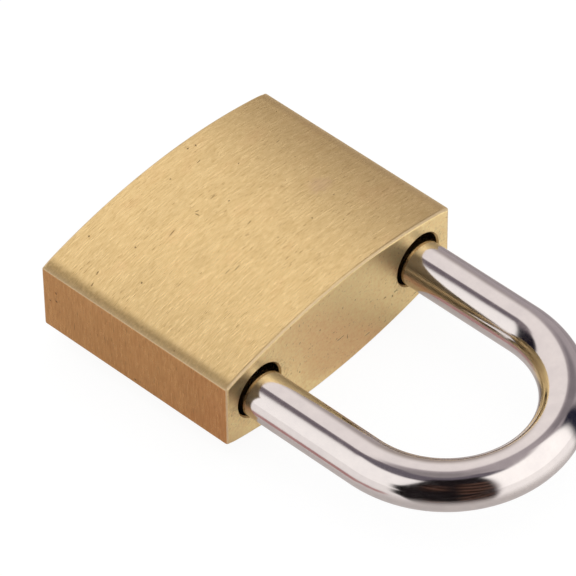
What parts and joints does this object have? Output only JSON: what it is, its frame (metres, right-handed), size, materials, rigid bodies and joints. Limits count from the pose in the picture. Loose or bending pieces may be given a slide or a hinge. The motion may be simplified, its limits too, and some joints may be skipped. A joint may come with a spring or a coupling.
{
  "type": "padlock",
  "caption": "Solid brass padlock with bulged faces, a chromed steel shackle that lifts and swivels, a pin-tumbler plug and a cam that drives its latches.",
  "frame": {"origin": "middle of the footprint of the lock lying on its back, at the lowest line of the bulged back face", "axes": "+Y from the keyway end to the shackle, +Z out of the front face, +X towards the long leg of the shackle"},
  "size_m": [0.04, 0.0643, 0.0154],
  "materials": {
    "brushed_brass": "brushed along the width, lightly scratched",
    "turned_brass": "turned",
    "chrome_plate": "polished",
    "tool_steel": "ground",
    "spring_steel": "drawn wire"
  },
  "bodies": {
    "case": {"body": "brushed_brass", "cross_bore_plug": "brushed_brass", "chamber_plugs": "brushed_brass", "shackle_pin": "tool_steel", "plug_pin": "tool_steel", "shackle_spring": "spring_steel", "pin_spring_1": "spring_steel", "pin_spring_2": "spring_steel", "pin_spring_3": "spring_steel", "pin_spring_4": "spring_steel", "pin_spring_5": "spring_steel"},
    "spring_cap": {"spring_cap": "turned_brass"},
    "shackle": {"shackle": "chrome_plate"},
    "plug": {"plug": "turned_brass", "cam": "tool_steel"},
    "latch_long_side": {"latch_long_side": "tool_steel"},
    "latch_short_side": {"latch_short_side": "tool_steel"},
    "key_pin_1": {"key_pin_1": "turned_brass"},
    "key_pin_2": {"key_pin_2": "turned_brass"},
    "key_pin_3": {"key_pin_3": "turned_brass"},
    "key_pin_4": {"key_pin_4": "turned_brass"},
    "key_pin_5": {"key_pin_5": "turned_brass"},
    "driver_pin_1": {"driver_pin_1": "turned_brass"},
    "driver_pin_2": {"driver_pin_2": "turned_brass"},
    "driver_pin_3": {"driver_pin_3": "turned_brass"},
    "driver_pin_4": {"driver_pin_4": "turned_brass"},
    "driver_pin_5": {"driver_pin_5": "turned_brass"}
  },
  "joints": [
    {"name": "shackle_lift", "type": "slide", "parent": "case", "child": "spring_cap", "axis": [0, 1, 0], "range_m": [0, 0.01042], "deforming": ["shackle_spring"]},
    {"name": "shackle_swivel", "type": "hinge", "parent": "spring_cap", "child": "shackle", "pos_m": [0.01425, -0.00195, 0.0077], "axis": [0, 1, 0], "continuous": true},
    {"name": "plug_turn", "type": "hinge", "parent": "case", "child": "plug", "pos_m": [0, -0.03215, 0.0077], "axis": [0, 1, 0], "range_deg": [0, 90]},
    {"name": "latch_long_slide", "type": "slide", "parent": "case", "child": "latch_long_side", "axis": [1, 0, 0], "range_m": [0, 0.00184]},
    {"name": "latch_short_slide", "type": "slide", "parent": "case", "child": "latch_short_side", "axis": [-1, 0, 0], "range_m": [0, 0.00184]},
    {"name": "key_pin_1_drop", "type": "slide", "parent": "plug", "child": "key_pin_1", "axis": [0, 0, 1], "range_m": [0, 0.00134]},
    {"name": "key_pin_2_drop", "type": "slide", "parent": "plug", "child": "key_pin_2", "axis": [0, 0, 1], "range_m": [0, 0.0007409]},
    {"name": "key_pin_3_drop", "type": "slide", "parent": "plug", "child": "key_pin_3", "axis": [0, 0, 1], "range_m": [0, 0.00164]},
    {"name": "key_pin_4_drop", "type": "slide", "parent": "plug", "child": "key_pin_4", "axis": [0, 0, 1], "range_m": [0, 0.0004409]},
    {"name": "key_pin_5_drop", "type": "slide", "parent": "plug", "child": "key_pin_5", "axis": [0, 0, 1], "range_m": [0, 0.00104]},
    {"name": "driver_pin_1_push", "type": "slide", "parent": "case", "child": "driver_pin_1", "axis": [-1, 0, 0], "range_m": [0, 0.0014], "stiffness_N_per_m": 120, "springref_m": -0.002, "deforming": ["pin_spring_1"]},
    {"name": "driver_pin_2_push", "type": "slide", "parent": "case", "child": "driver_pin_2", "axis": [-1, 0, 0], "range_m": [0, 0.0014], "stiffness_N_per_m": 120, "springref_m": -0.002, "deforming": ["pin_spring_2"]},
    {"name": "driver_pin_3_push", "type": "slide", "parent": "case", "child": "driver_pin_3", "axis": [-1, 0, 0], "range_m": [0, 0.0014], "stiffness_N_per_m": 120, "springref_m": -0.002, "deforming": ["pin_spring_3"]},
    {"name": "driver_pin_4_push", "type": "slide", "parent": "case", "child": "driver_pin_4", "axis": [-1, 0, 0], "range_m": [0, 0.0014], "stiffness_N_per_m": 120, "springref_m": -0.002, "deforming": ["pin_spring_4"]},
    {"name": "driver_pin_5_push", "type": "slide", "parent": "case", "child": "driver_pin_5", "axis": [-1, 0, 0], "range_m": [0, 0.0014], "stiffness_N_per_m": 120, "springref_m": -0.002, "deforming": ["pin_spring_5"]}
  ],
  "couplings": [
    {"joint": "latch_long_slide", "follows": "plug_turn", "m_per_rad": 0.0011704},
    {"joint": "latch_short_slide", "follows": "plug_turn", "m_per_rad": 0.0011704}
  ]
}
